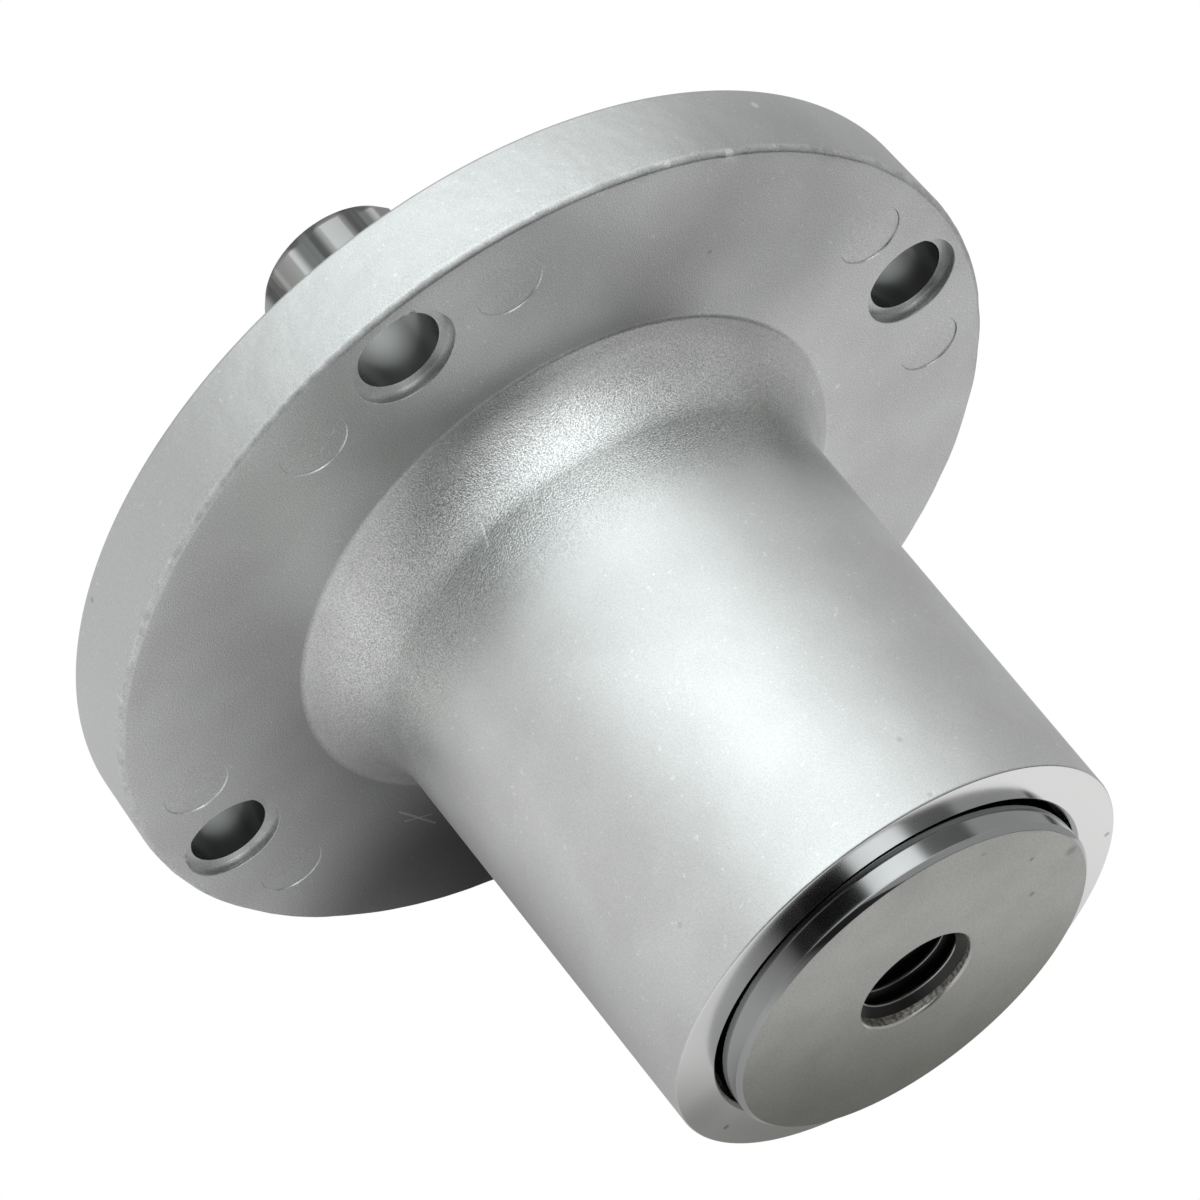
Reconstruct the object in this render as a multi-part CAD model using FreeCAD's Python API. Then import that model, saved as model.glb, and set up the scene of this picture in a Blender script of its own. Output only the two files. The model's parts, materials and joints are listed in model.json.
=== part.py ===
import FreeCAD, Part
import math
import os

from FreeCAD import Vector

# Mower deck spindle, in millimetres, with +Z up the shaft towards its splined end.
# The origin is the centre of the flange's flat mounting face, on the axis of the shaft.
# +X runs through one of the flange's bolt holes.

# Housing: one casting with a round flange, a tapering barrel and a machined bore
flange_thickness = 12.0
flange_rim_width = 8.85
flange_edge_round = 0.9
pilot_wall = 7.0
pilot_height = 5.0
pilot_chamfer = 0.8
barrel_length = 72.9
barrel_end_wall = 5.85
barrel_draft_deg = 1.4
barrel_edge_break = 0.35
shoulder_reach = 8.3
shoulder_slope_deg = 56.0
shoulder_fillet = 12.0
shoulder_crease_fillet = 1.4
bearing_stop_width = 4.2
bore_lead_in = 0.5

# Housing: bolt holes in the flange, each with a shallow recess on the barrel side
bolt_hole_count = 4
bolt_circle_radius = 57.15
bolt_hole_radius = 5.5
bolt_recess_step = 1.2
bolt_recess_depth = 1.5

# Housing: shallow round marks that the ejector pins left beside the bolt holes
pin_mark_angle_deg = 15.0
pin_mark_radius = 4.5
pin_mark_depth = 0.12

# Ball bearings, two alike, whose balls and races are in proportion to the ring section
ring_bore_radius = 12.5
ring_outer_radius = 26.0
ring_width = 15.0
ring_corner_round = 0.9
ball_count = 9
ball_ratio = 0.588
shoulder_ratio = 0.55
race_curve_ratio = 1.04
ball_running_gap = 0.02
seal_land_depth = 2.1
seal_groove_height = 1.6
seal_groove_wall = 2.7
seal_land_drop = 0.5
seal_set_back = 0.3
seal_thickness = 1.2
seal_lip_thickness = 0.5
seal_lip_width = 1.4
seal_running_gap = 0.05
cage_pocket_gap = 0.15
cage_sheet = 0.6
cage_side_gap = 0.6
rivet_radius = 0.7
rivet_head_radius = 1.1
rivet_head_height = 0.4

# Shaft: one turned piece with a broad head for the blade and a splined end for the pulley
head_running_gap = 0.55
head_recess_step = 0.15
head_proud = 3.6
head_thickness = 9.0
head_chamfer = 0.6
inner_ring_stop_width = 3.0
inner_ring_stop_height = 1.0
blade_thread_radius = 7.94
blade_thread_depth = 38.0
blade_thread_chamfer = 0.25
drill_point_deg = 118.0
journal_chamfer = 0.5
spline_teeth = 9
spline_step = 0.1
spline_depth = 0.95
spline_tip_land_deg = 14.0
spline_root_land_deg = 6.0
spline_first_tooth_deg = 16.5
spline_run_out_deg = 30.0
spline_end_chamfer = 0.6
spline_end_chamfer_length = 0.8
shaft_top_height = 49.4
pulley_thread_radius = 5.0
pulley_thread_depth = 26.0
pulley_thread_chamfer = 0.6

# Spacer tube between the inner rings, and dust shield above the upper bearing
spacer_bore_gap = 0.25
spacer_wall = 2.6
spacer_end_chamfer = 0.4
bearing_recess = 2.6
shield_sheet = 1.0
shield_step = 0.8
shield_hub_width = 2.6
shield_rim_gap = 1.0
shield_rim_drop = 0.45
shield_rim_round = 0.8
journal_past_shield = 0.8

# Radii that follow from the sizes above
ring_section = ring_outer_radius - ring_bore_radius
pitch_radius = ring_bore_radius + ring_section / 2.0
ball_radius = ball_ratio * ring_section / 2.0
race_curve_radius = race_curve_ratio * ball_radius
inner_shoulder_radius = pitch_radius - shoulder_ratio * ball_radius
outer_shoulder_radius = pitch_radius + shoulder_ratio * ball_radius
seal_groove_radius = ring_outer_radius - seal_groove_wall
cage_inner_radius = inner_shoulder_radius + cage_side_gap
cage_outer_radius = outer_shoulder_radius - cage_side_gap
head_recess_radius = ring_outer_radius + head_recess_step
head_radius = head_recess_radius - head_running_gap
core_radius = ring_outer_radius - bearing_stop_width
pilot_radius = ring_outer_radius + pilot_wall
barrel_end_radius = head_recess_radius + barrel_end_wall
shoulder_crease_radius = barrel_end_radius + shoulder_reach
flange_radius = bolt_circle_radius + flange_rim_width
bolt_recess_radius = bolt_hole_radius + bolt_recess_step
inner_ring_stop_radius = ring_bore_radius + inner_ring_stop_width
spline_tip_radius = ring_bore_radius - spline_step
spline_root_radius = spline_tip_radius - spline_depth

# Heights that follow from the sizes above
flange_back_z = -flange_thickness
barrel_end_z = flange_back_z - barrel_length
head_face_z = barrel_end_z - head_proud
head_back_z = head_face_z + head_thickness
lower_bearing_z = head_back_z + inner_ring_stop_height
lower_bearing_top_z = lower_bearing_z + ring_width
upper_bearing_top_z = pilot_height - bearing_recess
upper_bearing_z = upper_bearing_top_z - ring_width
journal_top_z = upper_bearing_top_z + shield_sheet + journal_past_shield
whole_turn = 360.0


def on_axis(z):
    return Vector(0, 0, z)


def unit(start, end):
    length = math.hypot(end[0] - start[0], end[1] - start[1])
    return (end[0] - start[0]) / length, (end[1] - start[1]) / length


def rounded(before, corner, after, radius):
    """Start, middle and end of the arc that rounds one corner of a section."""
    back = unit(corner, before)
    ahead = unit(corner, after)
    half = math.acos(back[0] * ahead[0] + back[1] * ahead[1]) / 2.0
    reach = radius / math.tan(half)
    inward = unit((0, 0), (back[0] + ahead[0], back[1] + ahead[1]))
    to_arc = radius / math.sin(half) - radius
    start = (corner[0] + back[0] * reach, corner[1] + back[1] * reach)
    middle = (corner[0] + inward[0] * to_arc, corner[1] + inward[1] * to_arc)
    end = (corner[0] + ahead[0] * reach, corner[1] + ahead[1] * reach)
    return start, middle, end


def turned(section):
    """A piece turned about the Z axis.

    Its section is a ring of points (radius, height), and a third number rounds that corner.
    """
    edges = []
    pen = None
    first = None
    for index, point in enumerate(section):
        before = section[index - 1]
        after = section[(index + 1) % len(section)]
        if len(point) == 3:
            start, middle, end = rounded(before, point, after, point[2])
        else:
            start, middle, end = point, None, point
        here = Vector(start[0], 0, start[1])
        if pen is None:
            first = here
        elif pen.distanceToPoint(here) > 1e-7:
            edges.append(Part.makeLine(pen, here))
        pen = Vector(end[0], 0, end[1])
        if middle is not None:
            edges.append(Part.Arc(here, Vector(middle[0], 0, middle[1]), pen).toShape())
    edges.append(Part.makeLine(pen, first))
    face = Part.Face(Part.Wire(edges))
    return face.revolve(on_axis(0), Vector(0, 0, 1), whole_turn)


def around(shape, count, first_deg=0.0):
    """Copies of a shape, evenly spaced about the Z axis."""
    copies = []
    for index in range(count):
        copy = shape.copy()
        copy.rotate(on_axis(0), Vector(0, 0, 1), first_deg + index * whole_turn / count)
        copies.append(copy)
    return copies


def drilled_hole(radius, depth, chamfer, mouth_z, up):
    """A blind hole on the axis with a chamfered mouth and the drill's pointed end."""
    sign = 1.0 if up else -1.0
    point = radius / math.tan(math.radians(drill_point_deg / 2.0))
    section = [
        (0, mouth_z),
        (radius + chamfer, mouth_z),
        (radius, mouth_z + sign * chamfer),
        (radius, mouth_z + sign * depth),
        (0, mouth_z + sign * (depth + point)),
    ]
    return turned(section)


def make_housing():
    draft = math.tan(math.radians(barrel_draft_deg))
    slope = math.tan(math.radians(shoulder_slope_deg))
    # The slope of the shoulder and the line of the barrel meet at this corner.
    corner_drop = (shoulder_crease_radius - barrel_end_radius - barrel_length * draft) / (slope - draft)
    corner_radius = shoulder_crease_radius - corner_drop * slope
    outside = [
        (pilot_radius, pilot_height, pilot_chamfer),
        (pilot_radius, 0),
        (flange_radius, 0, flange_edge_round),
        (flange_radius, flange_back_z, flange_edge_round),
        (shoulder_crease_radius, flange_back_z, shoulder_crease_fillet),
        (corner_radius, flange_back_z - corner_drop, shoulder_fillet),
        (barrel_end_radius, barrel_end_z, barrel_edge_break),
    ]
    bore = [
        (head_recess_radius + bore_lead_in, barrel_end_z),
        (head_recess_radius, barrel_end_z + bore_lead_in),
        (head_recess_radius, lower_bearing_z - bore_lead_in),
        (ring_outer_radius, lower_bearing_z - bore_lead_in + head_recess_step),
        (ring_outer_radius, lower_bearing_top_z),
        (core_radius, lower_bearing_top_z),
        (core_radius, upper_bearing_z),
        (ring_outer_radius, upper_bearing_z),
        (ring_outer_radius, pilot_height - bore_lead_in),
        (ring_outer_radius + bore_lead_in, pilot_height),
    ]
    body = turned(outside + bore)
    hole_place = Vector(bolt_circle_radius, 0, flange_back_z)
    through = Part.makeCylinder(bolt_hole_radius, flange_thickness, hole_place)
    recess = Part.makeCylinder(bolt_recess_radius, bolt_recess_depth, hole_place)
    cuts = around(through.fuse(recess), bolt_hole_count)
    mark = Part.makeCylinder(pin_mark_radius, pin_mark_depth, hole_place)
    for side in (-1, 1):
        cuts += around(mark, bolt_hole_count, side * pin_mark_angle_deg)
    return body.cut(Part.makeCompound(cuts))


def spline_groove():
    """One groove of the spline, with straight flanks and a sloping run-out at its lower end."""
    pitch = math.radians(whole_turn / spline_teeth)
    tip_half = (pitch - math.radians(spline_tip_land_deg)) / 2.0
    root_half = math.radians(spline_root_land_deg) / 2.0
    tip_x = spline_tip_radius * math.cos(tip_half)
    tip_y = spline_tip_radius * math.sin(tip_half)
    root_x = spline_root_radius * math.cos(root_half)
    root_y = spline_root_radius * math.sin(root_half)
    # The flanks carry on past the tip circle, so that the cut is clean.
    beyond = ring_bore_radius / tip_x
    wide_x = tip_x + (tip_x - root_x) * beyond
    wide_y = tip_y + (tip_y - root_y) * beyond
    corners = [
        Vector(root_x, -root_y, journal_top_z),
        Vector(wide_x, -wide_y, journal_top_z),
        Vector(wide_x, wide_y, journal_top_z),
        Vector(root_x, root_y, journal_top_z),
    ]
    outline = Part.makePolygon(corners + [corners[0]])
    length = shaft_top_height - journal_top_z + spline_end_chamfer
    groove = Part.Face(outline).extrude(on_axis(length))
    run = (wide_x - root_x) / math.tan(math.radians(spline_run_out_deg))
    ramp = Part.makePolygon([
        Vector(root_x, -wide_y, journal_top_z),
        Vector(wide_x, -wide_y, journal_top_z),
        Vector(root_x, -wide_y, journal_top_z + run),
        Vector(root_x, -wide_y, journal_top_z),
    ])
    wedge = Part.Face(ramp).extrude(Vector(0, 2.0 * wide_y, 0))
    return groove.cut(wedge)


def make_shaft():
    section = [
        (0, head_face_z),
        (head_radius - head_chamfer, head_face_z),
        (head_radius, head_face_z + head_chamfer),
        (head_radius, head_back_z, head_chamfer),
        (inner_ring_stop_radius, head_back_z),
        (inner_ring_stop_radius, lower_bearing_z),
        (ring_bore_radius, lower_bearing_z),
        (ring_bore_radius, journal_top_z - journal_chamfer),
        (spline_tip_radius, journal_top_z),
        (spline_tip_radius, shaft_top_height - spline_end_chamfer_length),
        (spline_tip_radius - spline_end_chamfer, shaft_top_height),
        (0, shaft_top_height),
    ]
    shaft = turned(section)
    first_groove = spline_first_tooth_deg + whole_turn / spline_teeth / 2.0
    shaft = shaft.cut(Part.makeCompound(around(spline_groove(), spline_teeth, first_groove)))
    blade_hole = drilled_hole(blade_thread_radius, blade_thread_depth, blade_thread_chamfer, head_face_z, True)
    pulley_hole = drilled_hole(pulley_thread_radius, pulley_thread_depth, pulley_thread_chamfer,
                               shaft_top_height, False)
    return shaft.cut(blade_hole).cut(pulley_hole)


def make_spacer():
    bore = ring_bore_radius + spacer_bore_gap
    outer = bore + spacer_wall
    section = [
        (bore, lower_bearing_top_z),
        (outer - spacer_end_chamfer, lower_bearing_top_z),
        (outer, lower_bearing_top_z + spacer_end_chamfer),
        (outer, upper_bearing_z - spacer_end_chamfer),
        (outer - spacer_end_chamfer, upper_bearing_z),
        (bore, upper_bearing_z),
    ]
    return turned(section)


def make_dust_shield():
    low = upper_bearing_top_z
    hub = ring_bore_radius + shield_hub_width
    rim = ring_outer_radius - shield_rim_gap
    lift = low + shield_step
    rim_low = lift - shield_rim_drop
    section = [
        (ring_bore_radius, low),
        (hub, low),
        (hub + shield_step, lift),
        (rim - shield_sheet, lift),
        (rim - shield_sheet, rim_low),
        (rim, rim_low),
        (rim, lift + shield_sheet, shield_rim_round),
        (hub + shield_step, lift + shield_sheet),
        (hub, low + shield_sheet),
        (ring_bore_radius, low + shield_sheet),
    ]
    return turned(section)


def race(curve_centre_radius, base_z):
    """The rounded track that the balls cut into a ring."""
    return Part.makeTorus(curve_centre_radius, race_curve_radius, on_axis(base_z + ring_width / 2.0))


def make_outer_ring(base_z):
    top_z = base_z + ring_width
    section = [
        (ring_outer_radius, base_z, ring_corner_round),
        (ring_outer_radius, top_z, ring_corner_round),
        (seal_groove_radius, top_z),
        (seal_groove_radius, top_z - seal_groove_height),
        (outer_shoulder_radius, top_z - seal_land_depth),
        (outer_shoulder_radius, base_z + seal_land_depth),
        (seal_groove_radius, base_z + seal_groove_height),
        (seal_groove_radius, base_z),
    ]
    track = pitch_radius + ball_radius + ball_running_gap - race_curve_radius
    return turned(section).cut(race(track, base_z))


def make_inner_ring(base_z):
    top_z = base_z + ring_width
    land_radius = inner_shoulder_radius - seal_land_drop
    section = [
        (ring_bore_radius, base_z, ring_corner_round),
        (land_radius, base_z),
        (land_radius, base_z + seal_land_depth),
        (inner_shoulder_radius, base_z + seal_land_depth),
        (inner_shoulder_radius, top_z - seal_land_depth),
        (land_radius, top_z - seal_land_depth),
        (land_radius, top_z),
        (ring_bore_radius, top_z, ring_corner_round),
    ]
    track = pitch_radius - ball_radius - ball_running_gap + race_curve_radius
    return turned(section).cut(race(track, base_z))


def make_seal(base_z, facing_up):
    """A rubber seal, held in the outer ring's groove, with a thin lip at the inner ring."""
    lip = inner_shoulder_radius - seal_land_drop + seal_running_gap
    sign = 1.0 if facing_up else -1.0
    face = base_z + (ring_width if facing_up else 0.0) - sign * seal_set_back
    back = face - sign * seal_thickness
    lip_back = face - sign * (seal_lip_thickness + seal_set_back)
    section = [
        (lip, face - sign * seal_set_back),
        (lip + seal_lip_width, face),
        (seal_groove_radius, face),
        (seal_groove_radius, back),
        (lip + seal_lip_width, back),
        (lip, lip_back),
    ]
    return turned(section)


def make_balls(base_z):
    ball = Part.makeSphere(ball_radius, Vector(pitch_radius, 0, base_z + ring_width / 2.0))
    return Part.makeCompound(around(ball, ball_count))


def make_rivets(base_z):
    middle_z = base_z + ring_width / 2.0
    half_height = cage_sheet + rivet_head_height
    shank = Part.makeCylinder(rivet_radius, 2.0 * half_height, Vector(pitch_radius, 0, middle_z - half_height))
    rivet = shank
    for low_z in (middle_z - half_height, middle_z + cage_sheet):
        head = Part.makeCylinder(rivet_head_radius, rivet_head_height, Vector(pitch_radius, 0, low_z))
        rivet = rivet.fuse(head)
    return Part.makeCompound(around(rivet.removeSplitter(), ball_count, whole_turn / ball_count / 2.0))


def make_cage_half(base_z, above):
    """One of the two pressed sheets that are riveted together round the balls."""
    middle_z = base_z + ring_width / 2.0
    inner = cage_inner_radius
    outer = cage_outer_radius
    pocket_inside = ball_radius + cage_pocket_gap
    pocket_outside = pocket_inside + cage_sheet
    reach = pocket_outside + cage_sheet
    low_z = middle_z if above else middle_z - reach
    band = Part.makeCylinder(outer, reach, on_axis(low_z)).cut(Part.makeCylinder(inner, reach, on_axis(low_z)))
    centre = Vector(pitch_radius, 0, middle_z)
    domes = Part.makeCompound(around(Part.makeSphere(pocket_outside, centre), ball_count))
    hollows = Part.makeCompound(around(Part.makeSphere(pocket_inside, centre), ball_count))
    flat_z = middle_z if above else middle_z - cage_sheet
    flat = Part.makeCylinder(outer, cage_sheet, on_axis(flat_z))
    flat = flat.cut(Part.makeCylinder(inner, cage_sheet, on_axis(flat_z)))
    hole = Part.makeCylinder(rivet_radius, 2.0 * reach, Vector(pitch_radius, 0, middle_z - reach))
    holes = Part.makeCompound(around(hole, ball_count, whole_turn / ball_count / 2.0))
    sheet = band.common(domes).fuse(flat).cut(hollows).cut(holes)
    return sheet.removeSplitter()


def make_bearing(name, base_z):
    """The separate pieces of one ball bearing, by node name."""
    return {
        name + "_outer_ring": make_outer_ring(base_z),
        name + "_inner_ring": make_inner_ring(base_z),
        name + "_balls": make_balls(base_z),
        name + "_cage_lower_half": make_cage_half(base_z, False),
        name + "_cage_upper_half": make_cage_half(base_z, True),
        name + "_cage_rivets": make_rivets(base_z),
        name + "_lower_seal": make_seal(base_z, False),
        name + "_upper_seal": make_seal(base_z, True),
    }


def make_pieces():
    pieces = {
        "housing": make_housing(),
        "spindle_shaft": make_shaft(),
        "bearing_spacer": make_spacer(),
        "dust_shield": make_dust_shield(),
    }
    pieces.update(make_bearing("lower_bearing", lower_bearing_z))
    pieces.update(make_bearing("upper_bearing", upper_bearing_z))
    return pieces


os.makedirs("parts", exist_ok=True)
for node, shape in make_pieces().items():
    shape.exportStep("parts/" + node + ".step")
    print(node, len(shape.Solids), "solids", round(shape.Volume, 1), "mm3", shape.isValid())
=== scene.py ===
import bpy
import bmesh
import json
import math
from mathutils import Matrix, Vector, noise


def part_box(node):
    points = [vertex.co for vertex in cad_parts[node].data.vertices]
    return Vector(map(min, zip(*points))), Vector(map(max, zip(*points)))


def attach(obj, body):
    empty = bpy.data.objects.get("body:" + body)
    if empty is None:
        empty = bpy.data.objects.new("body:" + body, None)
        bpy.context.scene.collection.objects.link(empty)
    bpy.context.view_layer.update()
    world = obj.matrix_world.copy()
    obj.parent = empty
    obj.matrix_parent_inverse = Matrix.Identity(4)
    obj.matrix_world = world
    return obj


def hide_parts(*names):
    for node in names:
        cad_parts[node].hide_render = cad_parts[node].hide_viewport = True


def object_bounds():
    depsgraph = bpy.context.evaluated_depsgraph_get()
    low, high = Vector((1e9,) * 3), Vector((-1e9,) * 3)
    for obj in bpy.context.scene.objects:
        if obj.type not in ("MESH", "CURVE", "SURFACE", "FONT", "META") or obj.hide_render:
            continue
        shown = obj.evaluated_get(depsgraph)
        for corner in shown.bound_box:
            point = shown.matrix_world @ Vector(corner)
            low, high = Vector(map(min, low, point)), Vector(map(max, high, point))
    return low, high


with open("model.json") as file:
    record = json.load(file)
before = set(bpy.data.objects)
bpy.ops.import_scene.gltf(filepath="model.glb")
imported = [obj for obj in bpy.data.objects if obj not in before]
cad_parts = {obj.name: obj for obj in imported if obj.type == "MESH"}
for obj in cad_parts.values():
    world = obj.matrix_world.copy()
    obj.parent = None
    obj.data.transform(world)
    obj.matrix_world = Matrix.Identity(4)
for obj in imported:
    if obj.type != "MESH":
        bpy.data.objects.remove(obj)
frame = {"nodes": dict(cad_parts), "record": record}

# %% [markdown]
# # A mower deck spindle
# The spindle hangs under the deck of a mower. Its die-cast housing bolts to the deck by the round
# flange, and a steel shaft runs through two ball bearings in the long barrel. The blade is bolted to
# the broad head at the lower end, and a belt pulley sits on the splined upper end.
# The solids come from the CAD frame at their real size. This lesson gives them their looks: a blasted
# aluminium casting, a ground steel shaft, the thread, and the small marks of use.

cad_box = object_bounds()
nodes = frame["nodes"]
mounts = {mount["name"]: mount for mount in frame["record"]["mounts"]}
mm = 0.001
print("CAD nodes:", len(nodes), "box:", [[round(value, 4) for value in corner] for corner in cad_box])

# %% [markdown]
# ## The camera
# The photo looks up at the spindle from below, with a long lens, so that the head of the shaft comes
# towards the viewer and the splined end shows behind the flange. The place and the turn of the camera
# were worked out from the outlines of the flange, the barrel and the bolt holes.

# %% Camera at the viewing angle of the photo
camera_place = Vector((0.38134, 0.00149, -0.25232))
camera_back = Vector((0.853378, 0.004538, -0.521273))
camera_roll = math.radians(-39.21)
lens_length = 103.76
sensor_width = 36
near_clip = 0.01

lens = bpy.data.cameras.new("photo_camera")
lens.lens = lens_length
lens.sensor_width = sensor_width
lens.clip_start = near_clip
camera = bpy.data.objects.new("photo_camera", lens)
aim = (-camera_back).to_track_quat("-Z", "Y").to_matrix().to_4x4()
camera.matrix_world = Matrix.Translation(camera_place) @ aim @ Matrix.Rotation(camera_roll, 4, "Z")
bpy.context.scene.collection.objects.link(camera)
bpy.context.scene.camera = camera
print("camera distance:", round(camera_place.length, 3))

# %% [markdown]
# ## Nodes in plain words
# Light, floor and finishes are all made of shader nodes. A few short words for the nodes that come back
# again and again keep the lesson readable: a link goes in where a number would, and comes out again.

# %% Helper for node trees
class Nodes:
    """Short ways to add nodes to a tree. A value may be a number, a tuple or the socket of a node."""

    def __init__(self, tree):
        self.tree = tree

    def add(self, kind, *values, **settings):
        node = self.tree.nodes.new("ShaderNode" + kind)
        for name, value in settings.items():
            setattr(node, name, value)
        for socket, value in zip([socket for socket in node.inputs if socket.enabled], values):
            self.put(value, socket)
        return node

    def put(self, value, socket):
        if isinstance(value, bpy.types.NodeSocket):
            self.tree.links.new(value, socket)
        elif value is not None:
            socket.default_value = value

    def math(self, operation, first, second=None, third=None):
        return self.add("Math", first, second, third, operation=operation).outputs["Value"]

    def vector(self, operation, first, second=None):
        node = self.add("VectorMath", first, second, operation=operation)
        return node.outputs["Value" if operation in ("DOT_PRODUCT", "DISTANCE", "LENGTH") else "Vector"]

    def ramp(self, value, low, high, start=0.0, end=1.0, smooth=True):
        """A value mapped from low..high to start..end, with its ends held."""
        curve = "SMOOTHSTEP" if smooth else "LINEAR"
        node = self.add("MapRange", value, low, high, start, end, interpolation_type=curve)
        return node.outputs["Result"]

    def band(self, value, low, high, soft):
        """1 between low and high, and 0 outside, with soft edges."""
        rise = self.ramp(value, low - soft, low + soft)
        return self.math("MULTIPLY", rise, self.ramp(value, high - soft, high + soft, 1, 0))

    def mix(self, mask, off, on):
        return self.add("Mix", mask, off, on, data_type="FLOAT").outputs["Result"]

    def colours(self, mask, off, on):
        node = self.add("Mix", data_type="RGBA")
        self.put(mask, node.inputs["Factor"])
        names = [socket for socket in node.inputs if socket.type == "RGBA"]
        for socket, value in zip(names, (off, on)):
            self.put((*value, 1) if isinstance(value, tuple) else value, socket)
        return [socket for socket in node.outputs if socket.type == "RGBA"][0]


print("helper for nodes ready")

# %% [markdown]
# ## White room and soft light
# Metal has no colour of its own to show but what it mirrors, so the room matters more than the lamps.
# The camera sees a white room. The metal sees a soft grey one that grows brighter towards one side,
# like the glow of a broad soft box: the closer a direction is to the middle of the glow, the brighter.
# Low down, a bright strip lamp stands between two dark flags. Rough metal hardly sees them, but the
# polished side of the shaft's head mirrors them, as the black and white bands of a bright steel.

# %% World that is white to the camera, and grey with a soft glow to the metal
room_grey = 0.48
glow_level = 1.05
glow_tint = (0.935, 0.995, 1.005)
glow_narrow = 2.7
glow_azimuth = 16
glow_height = 17
strip_heights = (-33, -17)
# Each strip is the azimuths that it lies between, in degrees, and its share of the light.
strips = {"left flag": (-60, 10, 0.0), "strip lamp": (10, 46, 1.9), "right flag": (46, 78, 0.25)}
strip_soft = 3

scene = bpy.context.scene
scene.view_settings.view_transform = "Standard"


def direction(azimuth_deg, height_deg):
    azimuth = math.radians(azimuth_deg)
    height = math.radians(height_deg)
    level = math.cos(height)
    return Vector((level * math.cos(azimuth), level * math.sin(azimuth), math.sin(height)))


room = bpy.data.worlds.new("white_room")
scene.world = room
room.use_nodes = True
room.node_tree.nodes.clear()
air = Nodes(room.node_tree)
looking = air.add("TexCoord").outputs["Generated"]
towards = air.vector("DOT_PRODUCT", looking, direction(glow_azimuth, glow_height))
glow = air.math("POWER", air.math("MAXIMUM", towards, 0.0), glow_narrow)
light = air.math("MULTIPLY_ADD", glow, glow_level, room_grey)
parts = air.add("SeparateXYZ", looking)
turn = air.math("DEGREES", air.math("ARCTAN2", parts.outputs["Y"], parts.outputs["X"]))
height = air.math("DEGREES", air.math("ARCSINE", parts.outputs["Z"]))
level_with_strips = air.band(height, *strip_heights, strip_soft)
for left, right, share in strips.values():
    mask = air.math("MULTIPLY", level_with_strips, air.band(turn, left, right, strip_soft))
    light = air.math("MULTIPLY", light, air.math("MULTIPLY_ADD", mask, share - 1, 1.0))
soft = air.add("Background", air.colours(glow, (1.0, 1.0, 1.0), glow_tint), light).outputs[0]
white = air.add("Background", (1, 1, 1, 1), 1.0).outputs[0]
to_camera = air.add("LightPath").outputs["Is Camera Ray"]
air.add("OutputWorld", air.add("MixShader", to_camera, soft, white).outputs[0])
print("room grey:", room_grey, "glow:", glow_level)

# %% [markdown]
# In the photo the spindle lies on a pale table, on the flange's rim and the barrel's end. The metal
# mirrors that table: bright on the far side, dark towards the viewer and darkest where the part rests.
# A card with that soft light stands in its place. The camera and the shadows don't see it.

# %% Card in the place of the table
card_facing = Vector((0.481, 0.769, 0.423)).normalized()
card_offset = -0.0656
card_reach = 0.8
card_bright_side = Vector((-0.38, -0.253, 0.89))
card_light_levels = (0.05, 0.72)
card_fade = (-0.161, -0.098)
# Each shade is its middle, its reach, and the share of the light that is left in its middle.
card_shades = {
    "flange": (Vector((-0.068, -0.027, -0.029)), 0.12, 0.0),
    "barrel": (Vector((-0.017, -0.027, -0.085)), 0.04, 0.75),
    "shoulder": (Vector((0.031, -0.057, -0.086)), 0.05, 0.8),
}


def flat_piece(name, reach, matrix):
    """A square plate, made at its place, that is part of the studio and not of the spindle."""
    mesh = bmesh.new()
    bmesh.ops.create_grid(mesh, x_segments=1, y_segments=1, size=reach)
    bmesh.ops.transform(mesh, verts=mesh.verts[:], matrix=matrix)
    data = bpy.data.meshes.new(name)
    mesh.to_mesh(data)
    mesh.free()
    plate = bpy.data.objects.new(name, data)
    scene.collection.objects.link(plate)
    material = bpy.data.materials.new(name)
    material.use_nodes = True
    material.node_tree.nodes.clear()
    data.materials.append(material)
    return plate, Nodes(material.node_tree)


card_turn = card_facing.to_track_quat("Z", "Y").to_matrix().to_4x4()
card_matrix = Matrix.Translation(card_facing * card_offset) @ card_turn
card, paint = flat_piece("table_card", card_reach, card_matrix)
spot = paint.add("TexCoord").outputs["Object"]
to_bright_side = paint.vector("DOT_PRODUCT", spot, card_bright_side)
table_light = paint.ramp(to_bright_side, *card_fade, *card_light_levels)
for middle, reach, share_left in card_shades.values():
    open_share = paint.ramp(paint.vector("DISTANCE", spot, middle), 0.0, reach, share_left, 1.0)
    table_light = paint.math("MULTIPLY", table_light, open_share)
card_light = paint.add("Emission", None, table_light)
paint.add("OutputMaterial", card_light.outputs[0])
card.visible_camera = False
card.visible_shadow = False
card.visible_diffuse = False
print("card facing", [round(value, 3) for value in card_facing])

# %% [markdown]
# The floor lies under the head of the shaft, as if the spindle stood upright. From below, where the
# photo was taken, it is left clear, so it takes no light from the part and doesn't hide it. From above it
# is white and keeps the part's soft shadow, and further out it fades into the white room.

# %% Pale floor that is seen from above
floor_gap = 0.0003
floor_reach = 3.0
floor_colour = 0.86
floor_fade = (0.2, 0.9)
floor_light = 0.4

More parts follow.
